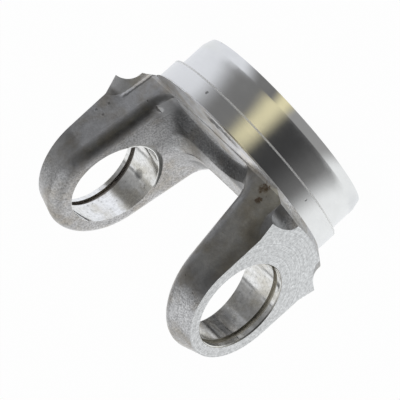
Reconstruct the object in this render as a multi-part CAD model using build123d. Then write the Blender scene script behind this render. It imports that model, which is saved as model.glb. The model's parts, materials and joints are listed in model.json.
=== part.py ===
from build123d import *
import math
import os

# Forged tube yoke for a cross joint, standing on its weld end with the ears up.
# Origin: the joint centre, where the bore axis (X) meets the turning axis (Z).
# A depth is measured down from the bore axis.

# Bores for the bearing caps, each with an outer snap-ring groove
bore_d = 27.0
cap_span = 61.9
ring_groove_width = 1.65
ring_groove_depth = 0.9
ring_land = 1.6
bore_mouth_chamfer = 0.35
bore_relief_wall = 0.9
bore_relief_inset = 1.3

# Ears
ear_thickness = 12.5
ear_draft = 8.7
ear_tip_radius = 17.3
flank_bulge_angle = 7.5
flank_spread = 2.0
ear_edge_round = 3.4

# Crotch between the ears: a rib on the parting line, dished on both sides
crotch_depth = 20.9
crotch_corner_radius = 12.5
crotch_foot_radius = 4.5
crotch_crown_angle = 7.0
rib_half_width = 6.5
rib_flank_angle = 35.0
scallop_radius = 21.5
scallop_foot_round = 2.5

# Hub below the crotch
bridge_thickness = 4.9
hub_overhang = 0.65
hub_rim_width = 12.4
hub_rim_drop = 1.1

# Wings at the foot of each ear, wider on the -X ear, and the turned flare that trims them
wing_thickness = 6.2
wing_overhang_left = 4.0
wing_overhang_right = 2.2
wing_rise = 6.4
wing_above_crotch = 0.9
flare_radius = 5.2
neck_land = 0.5
shoulder_height = 3.85
shoulder_angle = 35.0

# Weld end: collar, then the pilot that enters the tube
collar_d = 63.5
collar_below_hub = 1.6
collar_length = 6.1
collar_edge_break = 0.5
pilot_d = 60.3
pilot_length = 11.1
lead_in_length = 2.7
lead_in_drop = 0.75

# Hollow in the weld end
pilot_wall = 8.15
pocket_depth = 13.0
pocket_draft = 10.0
pocket_corner_bevel = 2.5

# Positions that follow from the sizes above
face_x = cap_span / 2 + ring_groove_width + ring_land
gap_half = face_x - ear_thickness
bore_r = bore_d / 2
collar_r = collar_d / 2
pilot_r = pilot_d / 2
hub_r = collar_r + hub_overhang
neck_r = collar_r + shoulder_height
hub_depth = crotch_depth + bridge_thickness
collar_start = hub_depth + collar_below_hub
pilot_step = collar_start + collar_length
pilot_end = pilot_step + pilot_length
clear_above = 2 * ear_tip_radius
clear_outside = 2 * neck_r
draft_slope = math.tan(math.radians(ear_draft))
crown_slope = math.tan(math.radians(crotch_crown_angle))
bulge_slope = math.tan(math.radians(flank_bulge_angle))
same_place = 0.001
base = (Align.CENTER, Align.CENTER, Align.MIN)


def gap_x(depth):
    """Half the gap between the drafted inner faces at a depth below the bore axis."""
    return gap_half - draft_slope * depth


def ear_blank(side):
    """One ear before the gap is cut: round tip and flanks, tapering outwards from its drafted inner face."""
    height = clear_above + pilot_step
    room = Box(face_x, 2 * clear_outside, height).moved(Location((face_x / 2, 0, clear_above - height / 2)))
    inner_r = ear_radius(-face_x)
    outer_r = ear_radius(face_x)
    tip = middle_plane().offset(-face_x) * Cone(inner_r, outer_r, 2 * face_x, align=base)
    legs = flat_sided(leg_outline(-face_x), leg_outline(face_x))
    right = (tip + legs) & room
    return right if side > 0 else right.mirror(Plane.YZ)


def middle_plane():
    """Plane through the middle of the +X ear, parallel to its drafted inner face, with its Y axis up."""
    return Plane(origin=(face_x - ear_thickness / 2, 0, 0), x_dir=(0, 1, 0), z_dir=(1, 0, -draft_slope))


def ear_radius(height):
    """Radius of the ear tip at a height outwards from the middle plane."""
    return ear_tip_radius + bulge_slope * (ear_thickness / 2 - height)


def leg_outline(height):
    """Corners of the leg below the round tip: its flanks are tangent to the tip and spread downwards."""
    spread = math.radians(flank_spread)
    radius = ear_radius(height)
    side_y = radius * math.cos(spread)
    side_z = radius * math.sin(spread)
    foot_y = radius / math.cos(spread) + pilot_end * math.tan(spread)
    plane = middle_plane().offset(height)
    corners = ((-side_y, side_z), (-foot_y, -pilot_end), (foot_y, -pilot_end), (side_y, side_z))
    return [plane.from_local_coords(corner) for corner in corners]


def flat_sided(start, end):
    """Solid with flat faces between two outlines with as many corners."""
    sides = [(start[i - 1], start[i], end[i], end[i - 1]) for i in range(len(start))]
    return closed_solid([start, end, *sides])


def closed_solid(outlines):
    """Solid closed by flat faces, each given by its corners."""
    return Solid(Shell([Face(Wire.make_polygon(outline, close=True)) for outline in outlines]))


def gap():
    """Space between the ears: drafted sides, a floor that falls away from the parting line, round corners."""
    lowest = crotch_depth + crown_slope * clear_outside
    between = Polygon(
        (-gap_x(-clear_above), clear_above),
        (-gap_x(lowest), -lowest),
        (gap_x(lowest), -lowest),
        (gap_x(-clear_above), clear_above),
        align=None,
    )
    over = Polygon(
        (-clear_outside, -lowest),
        (0, -crotch_depth),
        (clear_outside, -lowest),
        (clear_outside, clear_above),
        (-clear_outside, clear_above),
        align=None,
    )
    walls = extrude(Plane.XZ * between, amount=clear_outside, both=True)
    space = walls & extrude(Plane.YZ * over, amount=clear_outside, both=True)
    metal, round_off = crotch_corner()
    for side_x in (-1, 1):
        for side_y in (-1, 1):
            space = space - quarter(metal, side_x, side_y) + quarter(round_off, side_x, side_y)
    return space


def quarter(shape, side_x, side_y):
    """Copy of a shape from the +X +Y quarter, mirrored into the quarter with the given signs."""
    across = shape if side_x > 0 else shape.mirror(Plane.YZ)
    return across if side_y > 0 else across.mirror(Plane.XZ)


def crotch_corner():
    """Corner between wall and floor in one quarter: the metal left there, and the cone that rounds it.

    The cone touches the wall and the floor, with its full radius at the parting line.
    """
    wall = Vector(-1, 0, draft_slope).normalized()
    floor = Vector(0, crown_slope, 1).normalized()
    inward = (wall + floor) / (1 + wall.dot(floor))
    narrowing = (crotch_corner_radius - crotch_foot_radius) / ear_tip_radius
    start_y = -crotch_foot_radius
    end_y = ear_tip_radius + crotch_foot_radius
    start_r = crotch_corner_radius - narrowing * start_y
    end_r = crotch_corner_radius - narrowing * end_y
    start = corner_line(start_y) + inward * start_r
    end = corner_line(end_y) + inward * end_r
    length = (end - start).length
    lean = math.sqrt(1 - ((start_r - end_r) / length) ** 2)
    cone = Plane(origin=start, z_dir=end - start) * Cone(start_r / lean, end_r / lean, length, align=base)
    point = corner_line(crotch_corner_radius / narrowing)
    foot = (corner_line(start_y), start - wall * start_r, start - floor * start_r)
    metal = closed_solid([foot, *((foot[i - 1], foot[i], point) for i in range(3))])
    beyond = extrude(Plane.XZ * Rectangle(clear_outside, clear_outside), amount=-clear_outside)
    return metal & beyond, cone & beyond


def corner_line(y):
    """Point where the drafted wall and the falling floor would meet without a round."""
    depth = crotch_depth + crown_slope * y
    return Vector(gap_x(depth), y, -depth)


def ear(side):
    """One ear and its half of the bridge, with the edges facing the gap rounded."""
    blank = ear_blank(side)
    space = gap()
    solid = blank - space
    rims = [edge for edge in solid.edges() if is_rim(edge, blank, space)]
    return fillet(rims, ear_edge_round)


def is_rim(edge, blank, space):
    """True for an edge where the gap breaks out through a flank or an ear tip."""
    middle = edge.position_at(0.5)
    return abs(middle.X) > same_place and touches(blank, middle) and touches(space, middle)


def touches(solid, point):
    """True where a point lies on the skin of a solid."""
    return min(face.distance_to(point) for face in solid.faces()) < same_place


def scallop(side):
    """Dished cut beside the bridge: it leaves a rounded rib between the ears."""
    run = bridge_thickness * math.tan(math.radians(rib_flank_angle))
    profile = Polygon(
        (0, 0),
        (scallop_radius - run, 0),
        (scallop_radius, bridge_thickness),
        (scallop_radius, hub_depth),
        (0, hub_depth),
        align=None,
    )
    cutter = revolve(Plane.XZ * profile, Axis.Z)
    foot = cutter.edges().filter_by(GeomType.CIRCLE).sort_by(Axis.Z)[0]
    cutter = fillet(foot, scallop_foot_round)
    return cutter.moved(Location((0, side * (rib_half_width + scallop_radius), -hub_depth)))


def wing(side):
    """Flare at the foot of one ear: it grows from the flank to its full width at the outer face."""
    overhang = wing_overhang_left if side < 0 else wing_overhang_right
    full_depth = crotch_depth - wing_above_crotch
    depths = (full_depth - wing_rise, full_depth, pilot_step)
    widths = (ear_tip_radius, ear_tip_radius + overhang, ear_tip_radius + overhang)
    inner = wing_section(side * (face_x - wing_thickness), depths, (ear_tip_radius,) * 3)
    outer = wing_section(side * face_x, depths, widths)
    return loft([inner, outer], ruled=True)


def wing_section(x, depths, widths):
    """Section of a wing in a plane across the bore axis."""
    right = [(width, -depth) for depth, width in zip(depths, widths)]
    left = [(-width, -depth) for depth, width in zip(depths, widths)]
    return Plane.YZ.offset(x) * Polygon(*right, *reversed(left), align=None)


def hub():
    """Disc between the ears and the collar: flat under the bridge, falling away to its rim."""
    outline = Polygon(
        (0, -hub_depth),
        (hub_r - hub_rim_width, -hub_depth),
        (hub_r, -hub_depth - hub_rim_drop),
        (hub_r, -pilot_step),
        (0, -pilot_step),
        align=None,
    )
    return revolve(Plane.XZ * outline, Axis.Z)


def turned_off():
    """Metal that the turning tool removes outside the flare, neck, shoulder, collar and pilot."""
    neck_end = collar_start - shoulder_height * math.tan(math.radians(shoulder_angle))
    corner = neck_end - neck_land
    arc_top = corner - flare_radius
    arc_reach = flare_radius * (1 - math.sqrt(0.5))
    arc = ThreePointArc(
        (neck_r + flare_radius, -arc_top),
        (neck_r + arc_reach, -arc_top - arc_reach),
        (neck_r, -corner),
    )
    path = Polyline(
        (neck_r, -corner),
        (neck_r, -neck_end),
        (collar_r, -collar_start),
        (collar_r, -pilot_step),
        (pilot_r, -pilot_step),
        (pilot_r, -2 * pilot_end),
        (clear_outside, -2 * pilot_end),
        (clear_outside, -arc_top),
        (neck_r + flare_radius, -arc_top),
    )
    return revolve(Plane.XZ * make_face(arc + path), Axis.Z)


def weld_end():
    """Collar and pilot, turned true to the Z axis, with the lead-in that starts the tube."""
    outline = Polygon(
        (0, -collar_start),
        (collar_r, -collar_start),
        (collar_r, -pilot_step + collar_edge_break),
        (collar_r - collar_edge_break, -pilot_step),
        (pilot_r, -pilot_step),
        (pilot_r, -pilot_end + lead_in_length),
        (pilot_r - lead_in_drop, -pilot_end),
        (0, -pilot_end),
        align=None,
    )
    return revolve(Plane.XZ * outline, Axis.Z)


def pocket():
    """Shallow forged hollow in the weld end, drafted, with a bevelled floor corner."""
    mouth_r = pilot_r - pilot_wall
    draft = math.tan(math.radians(pocket_draft))
    bevel_depth = pocket_depth - pocket_corner_bevel
    outline = Polygon(
        (0, -pilot_end),
        (mouth_r, -pilot_end),
        (mouth_r - bevel_depth * draft, -pilot_end + bevel_depth),
        (mouth_r - bevel_depth * draft - pocket_corner_bevel, -pilot_end + pocket_depth),
        (0, -pilot_end + pocket_depth),
        align=None,
    )
    return revolve(Plane.XZ * outline, Axis.Z)


def bore_tools():
    """Cap bore through both ears, with a ring groove, a mouth chamfer and an inner relief in each."""
    tools = [cylinder_x(bore_r, -face_x, face_x)]
    ring_start = cap_span / 2
    ring_end = ring_start + ring_groove_width
    relief_end = gap_half - bore_relief_inset
    for side in (-1, 1):
        tools.append(cylinder_x(bore_r + ring_groove_depth, side * ring_start, side * ring_end))
        tools.append(cylinder_x(bore_r + bore_relief_wall, 0, side * relief_end))
        tools.append(mouth_cone(side))
    return tools


def cylinder_x(radius, start, end):
    """Cylinder about the bore axis between two positions on it."""
    disc = Plane.YZ.offset(min(start, end)) * Circle(radius)
    return extrude(disc, amount=abs(end - start))


def mouth_cone(side):
    """Chamfer at the bore mouth in one outer face."""
    mouth = Plane.YZ.offset(side * face_x) * Circle(bore_r + bore_mouth_chamfer)
    throat = Plane.YZ.offset(side * (face_x - bore_mouth_chamfer)) * Circle(bore_r)
    return loft([mouth, throat], ruled=True)


def yoke():
    """The whole forging, turned at the weld end and bored through both ears."""
    ears = ear(-1) + ear(1) - scallop(-1) - scallop(1)
    forging = ears + wing(-1) + wing(1) + hub()
    turned = forging - turned_off() + weld_end() - pocket()
    return turned - bore_tools()


os.makedirs("parts", exist_ok=True)
export_step(yoke(), "parts/weld_yoke.step")
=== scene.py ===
import json
import math

import bpy
from mathutils import Matrix, Vector


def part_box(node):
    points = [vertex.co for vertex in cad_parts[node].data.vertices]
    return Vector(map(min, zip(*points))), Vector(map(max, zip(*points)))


# A forged tube yoke on a plain pale floor: forged skin, bright turned weld end, faced and bored ears.
# Blender's lengths are in metres, in the part's own frame: X along the bores, Z up through the ears.
# The materials work in millimetres in the same frame.

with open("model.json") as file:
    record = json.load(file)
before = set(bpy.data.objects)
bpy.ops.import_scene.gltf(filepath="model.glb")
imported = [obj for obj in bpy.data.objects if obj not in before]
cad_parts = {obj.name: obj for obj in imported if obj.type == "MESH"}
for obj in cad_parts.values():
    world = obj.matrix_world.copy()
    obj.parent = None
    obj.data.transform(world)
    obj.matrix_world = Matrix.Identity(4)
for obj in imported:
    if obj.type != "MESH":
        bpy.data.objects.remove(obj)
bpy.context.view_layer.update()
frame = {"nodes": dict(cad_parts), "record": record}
yoke = frame["nodes"]["weld_yoke"]
low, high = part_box("weld_yoke")

# Sizes and positions on the part in millimetres. The box and the mounts give the main ones.
MM = 0.001
mounts = {mount["name"]: mount for mount in frame["record"]["mounts"]}
pilot = mounts["tube_pilot"]
FACE = high.x / MM
BORE = mounts["cross_bore"]["dims"]["r_mm"]
GROOVE = BORE + 0.9
GROOVE_START = 30.95
GROOVE_END = 32.6
RELIEF_END = 20.4
PILOT_STEP = pilot["pos_m"][2] / MM + pilot["dims"]["length_mm"] / 2
COLLAR_START = PILOT_STEP + 6.1
HUB_TOP = -25.8
HUB_TORN_RADIUS = 29.6
DISH_START = 6.0

# Single marks: the centre and the size of each, in millimetres
PITS = (((-32.1, 17.6, -8.8), 0.45), ((-29.1, 18.0, -9.1), 0.45), ((-30.6, 17.9, -12.4), 0.45))
RUST = (((24.0, 19.0, -24.5), 1.5), ((25.3, 18.8, -21.3), 0.8), ((-22.0, -19.0, -24.0), 1.8))
# Painted highlight: a lighter patch on the hub beside the +X ear's foot
HUB_HIGHLIGHT = (((15.5, 22.5, -26.4), 3.4),)
SCUFF = (((-18.4, 17.0, -20.9), 1.1),)
COLLAR_NICK = (((-2.2, 31.6, -30.8), 0.5),)
BORE_STAINS = (((24.6, -11.8, 6.6), 6.0), ((-26.7, -11.1, -7.8), 1.6))

# Colours of the steel
SKIN_COOL = (0.50, 0.50, 0.505)
SKIN_WARM = (0.495, 0.465, 0.42)
RUST_BROWN = (0.17, 0.115, 0.075)
TURNED = (0.80, 0.80, 0.795)
# Painted highlight on the collar edge
COLLAR_EDGE_HIGHLIGHT = (0.97, 0.97, 0.96)
FACED = (0.76, 0.77, 0.775)
BORED = (0.93, 0.93, 0.92)
BORED_STAIN = (0.74, 0.715, 0.65)
# Painted shade in the bores' reliefs and grooves, darker in the -X ear's groove
RELIEF_SHADE = (0.33, 0.33, 0.32)
GROOVE_SHADE_LEFT = (0.32, 0.295, 0.27)
GROOVE_SHADE_RIGHT = (0.66, 0.63, 0.55)
BUMP_DEPTH = 0.00003

# Camera: where the photograph was taken from, as its right, up and backward directions
CAMERA_PLACE = (0.59316, 0.89567, 0.10143)
CAMERA_RIGHT = (0.6037, -0.3054, -0.7364)
CAMERA_UP = (-0.5783, 0.4680, -0.6682)
CAMERA_BACK = (0.5487, 0.8293, 0.1059)
CAMERA_LENS = 360.0
CAMERA_SENSOR = 36.0

# Studio round the part: the bearing of its dim front, in degrees round Z from +X, and its brightness
FRONT_BEARING = 56.5
WHITE = (1.0, 1.0, 1.0)
DARKEST = (0.055, 0.055, 0.056)
DIM = (0.205, 0.205, 0.205)
DIM_FOOT = (0.42, 0.42, 0.42)
NEAR_LEFT = (0.98, 1.00, 1.01)
NEAR_RIGHT = (0.86, 0.88, 0.93)
NEAR_BACK = (0.86, 0.88, 0.90)
FAR_LEFT = (1.08, 1.08, 1.08)
FAR_RIGHT = (0.56, 0.56, 0.56)
FAR_BACK = (1.35, 1.35, 1.35)
WARM_STRIP = (0.88, 0.81, 0.53)
MIDDLE_SHADE = (0.16, 0.16, 0.16)
CEILING = (0.85, 0.86, 0.87)
CEILING_SEAM = (0.10, 0.10, 0.10)
PAPER = (0.86, 0.86, 0.86)

# Floor and lamp, in metres and watts
FLOOR_RADIUS = 4.0
FLOOR_CORNERS = 96
KEY_PLACE = (-0.15, -0.10, 1.20)
KEY_SIZE = 0.8
KEY_WATTS = 0.3


class Value:
    """A shader socket that takes part in Python expressions. Each operator adds one node."""

    def __init__(self, tree, socket):
        self.tree = tree
        self.socket = socket

    def node(self, kind, settings=None, output=0, **inputs):
        """Adds any node: its settings first, then the values or links of its sockets, by name or _index."""
        made = self.tree.nodes.new(kind)
        for name, value in (settings or {}).items():
            setattr(made, name, value)
        for name, value in inputs.items():
            key = int(name[1:]) if name[0] == "_" else name.replace("_", " ")
            put(self.tree, made.inputs[key], value)
        return Value(self.tree, made.outputs[output])

    def math(self, operation, *others):
        inputs = {f"_{i}": value for i, value in enumerate((self, *others))}
        return self.node("ShaderNodeMath", {"operation": operation}, **inputs)

    def __add__(self, other):
        return self.math("ADD", other)

    def __radd__(self, other):
        return self.math("ADD", other)

    def __sub__(self, other):
        return self.math("SUBTRACT", other)

    def __rsub__(self, other):
        return (self * -1.0).math("ADD", other)

    def __mul__(self, other):
        return self.math("MULTIPLY", other)

    def __rmul__(self, other):
        return self.math("MULTIPLY", other)

    def __truediv__(self, other):
        return self.math("DIVIDE", other)

    def __abs__(self):
        return self.math("ABSOLUTE")

    def root(self):
        return self.math("SQRT")

    def most(self, other):
        return self.math("MAXIMUM", other)

    def step(self, start, end, low=0.0, high=1.0):
        """Smooth step from low to high as the value goes from start to end."""
        if start > end:
            return self.step(end, start, high, low)
        settings = {"interpolation_type": "SMOOTHSTEP"}
        return self.node("ShaderNodeMapRange", settings, _0=self, _1=start, _2=end, _3=low, _4=high)

    def band(self, start, end, soft):
        """1 between start and end, falling to 0 over a soft edge on both sides."""
        return self.step(start - soft, start + soft) * self.step(end + soft, end - soft)

    def mix(self, first, second):
        """Colour between first and second, with this value as the share of the second."""
        return self.node("ShaderNodeMix", {"data_type": "RGBA"}, 2, _0=self, _6=first, _7=second)

    def times(self, factor):
        """This colour or vector, scaled by a number or a Value."""
        return self.node("ShaderNodeVectorMath", {"operation": "SCALE"}, _0=self, Scale=factor)

    def tint(self, colour):
        """A plain colour, scaled by this value."""
        return self.node("ShaderNodeVectorMath", {"operation": "SCALE"}, _0=colour, Scale=self)

    def axes(self):
        """X, Y and Z of a vector."""
        return [self.node("ShaderNodeSeparateXYZ", output=i, _0=self) for i in range(3)]

    def noise(self, size, detail=3.0, stretch=(1.0, 1.0, 1.0)):
        """Noise from 0 to 1 on this vector, its features about one size across, times a stretch."""
        scale = tuple(1.0 / (size * part) if part else 0.0 for part in stretch)
        where = self.node("ShaderNodeVectorMath", {"operation": "MULTIPLY"}, _0=self, _1=scale)
        return where.node("ShaderNodeTexNoise", Vector=where, Scale=1.0, Detail=detail, Roughness=0.6)

    def lines(self, per_mm, detail):
        """Noise from 0 to 1 along this number only, for lines across it."""
        settings = {"noise_dimensions": "1D"}
        return self.node("ShaderNodeTexNoise", settings, W=self, Scale=per_mm, Detail=detail)

    def spot(self, centre, size, ragged):
        """1 within a size of a centre and 0 outside it, with an edge that a ragged value moves."""
        away = self.node("ShaderNodeVectorMath", {"operation": "DISTANCE"}, 1, _0=self, _1=centre)
        return (away + ragged * size).step(size * 1.2, size * 0.6)

    def spots(self, marks, ragged):
        """1 within any of the marks, each a centre and a size, and 0 outside them."""
        found = self.spot(*marks[0], ragged)
        for mark in marks[1:]:
            found = found.most(self.spot(*mark, ragged))
        return found


def put(tree, socket, value):
    """Links a Value to a socket, or writes a number, colour or vector on it."""
    if isinstance(value, Value):
        tree.links.new(value.socket, socket)
    elif isinstance(value, tuple) and socket.type == "RGBA":
        socket.default_value = (*value, 1.0)
    else:
        socket.default_value = value


def start_tree(owner, kind, coordinates):
    """Clears a world's or material's nodes and gives its output and its coordinates as Values."""
    owner.use_nodes = True
    tree = owner.node_tree
    tree.nodes.clear()
    output = tree.nodes.new(kind)
    source = tree.nodes.new("ShaderNodeTexCoord")
    return tree, output.inputs["Surface"], Value(tree, source.outputs[coordinates])


def ray_kind(value):
    """1 for a ray from the camera, and 1 for a ray from the camera or off metal or glass."""
    camera = value.node("ShaderNodeLightPath", output=0)
    glossy = value.node("ShaderNodeLightPath", output=3)
    through = value.node("ShaderNodeLightPath", output=6)
    return camera, camera.most(glossy).most(through)


def studio_ring(x, y, far, rise=0.0, foot=0.0):
    """Brightness round the studio at one bearing, as the bright metal mirrors it.

    It is white behind the part and dim in front, darkest just left of the middle. Far off, the dim
    part reaches further to the right, and near the part a narrow warm strip stands in it. At the
    part's foot the bearing counts double, because the lead-in mirrors the paper right beside it.
    """
    bearing = y.math("ARCTAN2", x) * (180.0 / math.pi) - FRONT_BEARING
    turn = (bearing - (bearing / 360.0).math("ROUND") * 360.0) * (1.0 + foot)
    dark = far.mix(abs(turn + 14.0).step(4.0, 50.0), abs(turn + 30.0).step(8.0, 105.0))
    dim = dark.mix(DARKEST, DIM)
    dim = (turn.step(12.0, 0.0) * foot * 0.8).mix(dim, DIM_FOOT)
    near_white = abs(turn).step(51.0, 86.0)
    far_white = (abs(turn - 14.0) + rise).step(70.0, 138.0)
    left = turn.step(-40.0, 40.0)
    behind = abs(turn).step(115.0, 175.0)
    near_side = behind.mix(left.mix(NEAR_LEFT, NEAR_RIGHT), NEAR_BACK)
    far_side = behind.mix(left.mix(FAR_LEFT, FAR_RIGHT), FAR_BACK)
    room = far.mix(near_white, far_white).mix(dim, far.mix(near_side, far_side))
    strip = abs(turn - 14.5).step(18.0, 1.0) * (1.0 - far * 2.0).most(0.0)
    return strip.mix(room, WARM_STRIP)


def studio_world():
    """World: white to the camera; to metal and to the light, the studio, a darker middle and a ceiling."""
    world = bpy.data.worlds.new("studio")
    bpy.context.scene.world = world
    tree, surface, direction = start_tree(world, "ShaderNodeOutputWorld", "Generated")
    x, y, z = direction.axes()
    camera, seen = ray_kind(direction)
    ring = studio_ring(x, y, z.step(-1.0, 0.0), rise=z.step(0.05, 0.50) * 45.0)
    middle = (z.step(0.08, 0.40) * 0.38).mix(ring, MIDDLE_SHADE)
    seam = z.band(0.69, 0.74, 0.015) * 0.8
    around = seam.mix(z.step(0.62, 0.76).mix(middle, CEILING), CEILING_SEAM)
    shown = camera.mix(around, WHITE)
    tree.links.new(direction.node("ShaderNodeBackground", Color=shown).socket, surface)


def studio_floor():
    """Plain pale floor under the part: a wide flat disc that the metal sees as part of the studio."""
    angles = [2 * math.pi * i / FLOOR_CORNERS for i in range(FLOOR_CORNERS)]
    points = [(FLOOR_RADIUS * math.cos(angle), FLOOR_RADIUS * math.sin(angle), low.z) for angle in angles]
    mesh = bpy.data.meshes.new("floor")
    mesh.from_pydata(points, [], [list(range(FLOOR_CORNERS))])
    floor = bpy.data.objects.new("floor", mesh)
    bpy.context.scene.collection.objects.link(floor)
    material = bpy.data.materials.new("floor_paper")
    tree, surface, place = start_tree(material, "ShaderNodeOutputMaterial", "Object")
    x, y, z = place.axes()
    away = (x * x + y * y).root()
    camera, seen = ray_kind(place)
    ring = studio_ring(x, y, away.step(0.18, 0.40), foot=away.step(0.052, 0.040))
    shown = camera.mix(ring, WHITE)
    paper = place.node("ShaderNodeBsdfDiffuse", Color=PAPER)
    glow = place.node("ShaderNodeEmission", Color=shown)
    share = seen - camera * 0.03
    tree.links.new(place.node("ShaderNodeMixShader", _0=share, _1=paper, _2=glow).socket, surface)
    floor.data.materials.append(material)


def add_lamp(name, place, size, watts):
    """A square area lamp at a place, turned to face the part."""
    data = bpy.data.lights.new(name, "AREA")
    data.size = size
    data.energy = watts
    lamp = bpy.data.objects.new(name, data)
    lamp.location = place
    lamp.rotation_euler = (-Vector(place)).to_track_quat("-Z", "Y").to_euler()
    bpy.context.scene.collection.objects.link(lamp)


def set_camera():
    """The photograph's viewpoint."""
    data = bpy.data.cameras.new("camera")
    data.lens = CAMERA_LENS
    data.sensor_width = CAMERA_SENSOR
    data.clip_start = 0.01
    camera = bpy.data.objects.new("camera", data)
    turn = Matrix((CAMERA_RIGHT, CAMERA_UP, CAMERA_BACK)).transposed().normalized()
    camera.matrix_world = Matrix.Translation(CAMERA_PLACE) @ turn.to_4x4()
    bpy.context.scene.collection.objects.link(camera)
    bpy.context.scene.camera = camera


def skin_shades(place, x, y, z, patch):
    """Lighter and darker areas of the forging, as a factor: a painted highlight on the hub, a scuff, and
    painted shade in the dishes, along the ears' outer edges and on the -X ear's flank and inside.
    """
    # Painted highlight: a patch on the hub up to 1.3 times lighter
    hub_highlight = place.spots(HUB_HIGHLIGHT, (patch - 0.5) * 2.0) * 0.3
    scuff = place.spots(SCUFF, patch - 0.5) * 0.8
    # Painted shade in the dishes beside the rib, up to three quarters darker
    beside_rib = (abs(y) - DISH_START).step(0.0, 2.5) * abs(x).step(18.5, 14.0)
    dish_shade = beside_rib * z.band(HUB_TOP + 0.25, -18.0, 0.2) * 0.75
    # Painted shade along the ears' outer edges: the +X ear below its tip, and both ears lower down
    tip_shade = x.step(28.5, 32.0) * z.step(12.0, 6.0) * 0.28
    foot_shade = abs(x).step(27.5, 29.5) * z.band(-22.5, -12.0, 1.5) * 0.18
    # Painted shade on the -X ear's flank and inner face, above the hub
    left_flank = x.step(-14.0, -18.0) * y.step(8.0, 14.0) * 0.13
    left_inside = x.band(-22.0, -12.0, 2.0) * y.band(3.0, 20.0, 2.0) * 0.34
    left_shade = (left_flank + left_inside) * z.step(-26.0, -24.0)
    lighter = (1.0 + hub_highlight) * (1.0 + scuff)
    return lighter * (1.0 - dish_shade) * (1.0 - tip_shade - foot_shade) * (1.0 - left_shade)


def flash_line(place, x, y, z):
    """Trimmed flash along the crotch and over the tips, light with a torn dark edge, and the torn hub rim."""
    torn = place.noise(1.6, 3.0) - 0.5
    crotch = z.step(-18.5, -19.5) * abs(x).step(15.0, 12.0)
    strip = (abs(y + 0.9) + torn * 2.0).step(1.0, 0.6) * crotch.most(z.step(16.0, 17.0) * 0.4)
    breaks = place.noise(1.7, 3.0, stretch=(1.0, 2.0, 1.0)).step(0.34, 0.46)
    crotch_edge = (abs(y + 0.2) + torn * 2.6).step(0.75, 0.35) * breaks * crotch
    rim = (x * x + y * y).root() - HUB_TORN_RADIUS + torn * 5.0
    rim_part = x.band(1.5, 13.0, 1.5) * y.step(20.0, 24.0) * z.step(-25.9, -26.2)
    rim_edge = abs(rim).step(1.7, 1.0) * rim_part * place.noise(1.6, 3.0).step(0.36, 0.46)
    return strip, crotch_edge.most(rim_edge)


def wing_ridge(place, x, y, z):
    """Torn ridge down the root of the -X ear's wing, a painted shadow on its far side, and painted light on
    the flare behind it.
    """
    torn = place.noise(1.2, 3.0) - 0.5
    across = x + 29.5 + (z + 17.2) * 0.169 + torn * 1.1
    inside = y.step(14.0, 15.0) * z.step(-15.5, -17.0)
    ridge = abs(across).step(0.60, 0.30) * inside
    shade = abs(across - 0.75).step(0.50, 0.20) * inside
    # Painted light on the flare behind the ridge
    flare = across.step(0.2, -0.4) * x.step(-20.0, -24.0) * inside
    return ridge, shade, flare


def forged_skin(place, x, y, z):
    """Shot-blasted forging: grey, with fine grain, faint clouds, pits, flash and rust, and painted light and
    shade on the hub, the dishes, the ears' edges, the -X ear and its wing ridge.
    """
    grain = place.noise(0.6, 4.0)
    cloud = place.noise(7.0, 4.0)
    patch = place.noise(1.8, 4.0)
    pits = place.noise(1.5, 1.0).step(0.26, 0.20).most(place.spots(PITS, grain - 0.5))
    blasted = y.step(16.5, 14.0).most(z.step(6.0, 12.0))
    hub = z.step(HUB_TOP + 0.15, HUB_TOP)
    flash, flash_edge = flash_line(place, x, y, z)
    ridge, ridge_shadow, flare = wing_ridge(place, x, y, z)

    tone = 1.0 + (place.noise(0.5, 2.0) - 0.5) * (blasted * 1.6 + 0.3)
    tone = tone * patch.step(0.25, 0.75, 0.90, 1.08) * cloud.step(0.3, 0.7, 1.08, 0.84)
    # Painted light: the top of the hub is made 1.6 times lighter
    tone = tone * (1.0 - pits * 0.45) * (1.0 + hub * 0.6)
    tone = tone * skin_shades(place, x, y, z, patch)
    tone = tone * (1.0 - flash_edge * 0.7) + flash * 0.25
    # Painted shadow beside the wing ridge and painted light on the flare
    tone = tone * (1.0 - ridge_shadow * 0.45) * (1.0 + flare * 0.7) + ridge * 0.8

    colour = cloud.step(0.42, 0.72).mix(SKIN_COOL, SKIN_WARM)
    ragged = (patch + place.noise(0.7, 2.0) - 1.0) * 2.2
    rust = place.spots(RUST, ragged) * grain.step(0.3, 0.6, 0.5, 0.9)
    colour = rust.mix(colour, RUST_BROWN).times(tone)

    rough = patch.step(0.2, 0.8, 0.30, 0.40) + flare * 0.25 + hub * 0.15
    height = grain * (blasted * 2.8 + 1.2) + patch * (blasted * 1.4 + 1.4) - pits * 1.5
    height = height + (flash + ridge) * 0.8 - (flash_edge + ridge_shadow) * 1.5
    return colour, rough, height


def turned_steel(place, z):
    """Turned weld end: bright, with fine lines round it, faint smears, a few nicks and a painted highlight on
    the collar edge, pale and less metallic.
    """
    turning = place.noise(0.11, 2.0, stretch=(0.0, 0.0, 1.0))
    smear = place.noise(5.0, 3.0, stretch=(1.0, 1.0, 0.5))
    nick = place.spots(COLLAR_NICK, smear - 0.5).most(place.noise(2.4, 0.0).step(0.155, 0.13))
    tone = turning.step(0.25, 0.75, 0.96, 1.03) * smear.step(0.3, 0.75, 0.97, 1.02) * (1.0 - nick * 0.55)
    # Painted highlight: a pale band on the collar edge at the pilot step
    edge = z.band(PILOT_STEP + 0.05, PILOT_STEP + 0.55, 0.08)
    colour = edge.mix(tone.tint(TURNED), COLLAR_EDGE_HIGHLIGHT)
    rough = smear.step(0.3, 0.8, 0.14, 0.20) + edge * 0.20
    return colour, rough, turning * 0.12 - nick, edge * 0.6


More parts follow.
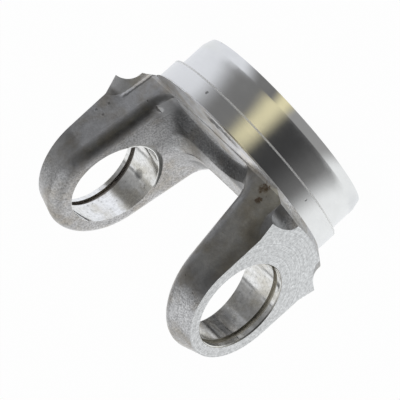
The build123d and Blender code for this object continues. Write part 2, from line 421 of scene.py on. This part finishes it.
def faced_steel(place, bore_away):
    """Milled outer faces: pale and dull, with swirl marks round the bore, cross scratches and dents."""
    swirl = bore_away.lines(2.6, 4.0)
    scratch = place.noise(0.22, 2.0, stretch=(1.0, 9.0, 1.0))
    cloud = place.noise(5.0, 4.0)
    dent = place.noise(1.7, 1.0).step(0.25, 0.19)
    fleck = place.noise(0.8, 3.0)
    glint = place.noise(1.1, 1.0).step(0.70, 0.76)
    tone = swirl.step(0.3, 0.7, 0.88, 1.08) * scratch.step(0.3, 0.7, 0.93, 1.05)
    tone = tone * cloud.step(0.3, 0.7, 0.92, 1.05) * fleck.step(0.25, 0.75, 0.80, 1.18)
    tone = tone * (1.0 - dent * 0.35) + glint * 0.25
    rough = cloud.step(0.3, 0.7, 0.42, 0.52)
    return tone.tint(FACED), rough, swirl * 1.5 + scratch * 0.6 + fleck * 1.4 - dent * 0.8


def bored_steel(place, x, bore_away):
    """Bored holes: bright, with stains, mottling and feed lines; painted shade in the grooves, deeper in the
    -X ear's, and in the rougher reliefs.
    """
    feed = x.lines(5.0, 2.0)
    stain = place.noise(5.5, 4.0, stretch=(1.6, 1.0, 1.0)).step(0.42, 0.68)
    mottle = place.noise(0.9, 3.0)
    speck = mottle.step(0.36, 0.28)
    stained = place.spots(BORE_STAINS, mottle - 0.5) * mottle.step(0.30, 0.60, 0.25, 0.62)
    tone = feed.step(0.3, 0.7, 0.93, 1.04) * mottle.step(0.25, 0.75, 0.84, 1.10)
    tone = tone * (1.0 - speck * 0.35) * (1.0 - stained)
    deep = bore_away.step(BORE + 0.08, BORE + 0.30)
    groove = deep * abs(x).step(RELIEF_END + 3.0, RELIEF_END + 4.0)
    # Painted shade in the reliefs and, next, in the grooves, darker in the -X ear's
    colour = deep.mix(stain.mix(BORED, BORED_STAIN), RELIEF_SHADE)
    colour = groove.mix(colour, x.step(-1.0, 1.0).mix(GROOVE_SHADE_LEFT, GROOVE_SHADE_RIGHT))
    rough = stain.step(0.0, 1.0, 0.10, 0.24) + deep * 0.2
    return colour.times(tone), rough, feed * 0.15 + mottle * 0.25


def bored_mask(across, bore_away, faced):
    """1 on the bores, their grooves, reliefs and mouth chamfers, and 0 elsewhere."""
    in_bore = bore_away.step(BORE + 0.10, BORE + 0.05)
    in_deep = bore_away.step(GROOVE + 0.10, GROOVE + 0.05)
    in_groove = in_deep * across.band(GROOVE_START, GROOVE_END, 0.02)
    in_relief = in_deep * across.step(RELIEF_END + 0.04, RELIEF_END + 0.01)
    in_mouth = bore_away.step(BORE + 0.45, BORE + 0.40) * across.step(FACE - 0.40, FACE - 0.36)
    return in_bore.most(in_groove).most(in_relief).most(in_mouth * (1.0 - faced))


def forged_steel():
    """The yoke's steel. Where each finish lies is told from the place on the part."""
    material = bpy.data.materials.new("forged_steel")
    tree, surface, metres = start_tree(material, "ShaderNodeOutputMaterial", "Object")
    place = metres.times(1.0 / MM)
    x, y, z = place.axes()
    across = abs(x)
    bore_away = (y * y + z * z).root()

    turned = z.step(COLLAR_START + 0.05, COLLAR_START)
    faced = across.step(FACE - 0.06, FACE - 0.03)
    bored = bored_mask(across, bore_away, faced)
    # The painted highlight on the collar edge is made less metallic
    *turned_look, edge_highlight_dulling = turned_steel(place, z)
    faced_look = faced_steel(place, bore_away)
    bored_look = bored_steel(place, x, bore_away)
    colour, rough, height = forged_skin(place, x, y, z)
    for mask, look in ((turned, turned_look), (faced, faced_look), (bored, bored_look)):
        colour = mask.mix(colour, look[0])
        rough = rough + (look[1] - rough) * mask
        height = height + (look[2] - height) * mask

    bump = place.node("ShaderNodeBump", Height=height, Strength=1.0, Distance=BUMP_DEPTH)
    shader = place.node(
        "ShaderNodeBsdfPrincipled",
        Base_Color=colour,
        Metallic=1.0 - edge_highlight_dulling * turned,
        Roughness=rough,
        Normal=bump,
    )
    tree.links.new(shader.socket, surface)
    return material


set_camera()
studio_world()
studio_floor()
add_lamp("key", KEY_PLACE, KEY_SIZE, KEY_WATTS)
yoke.data.materials.clear()
yoke.data.materials.append(forged_steel())

scene = bpy.context.scene
scene.view_settings.view_transform = "Standard"
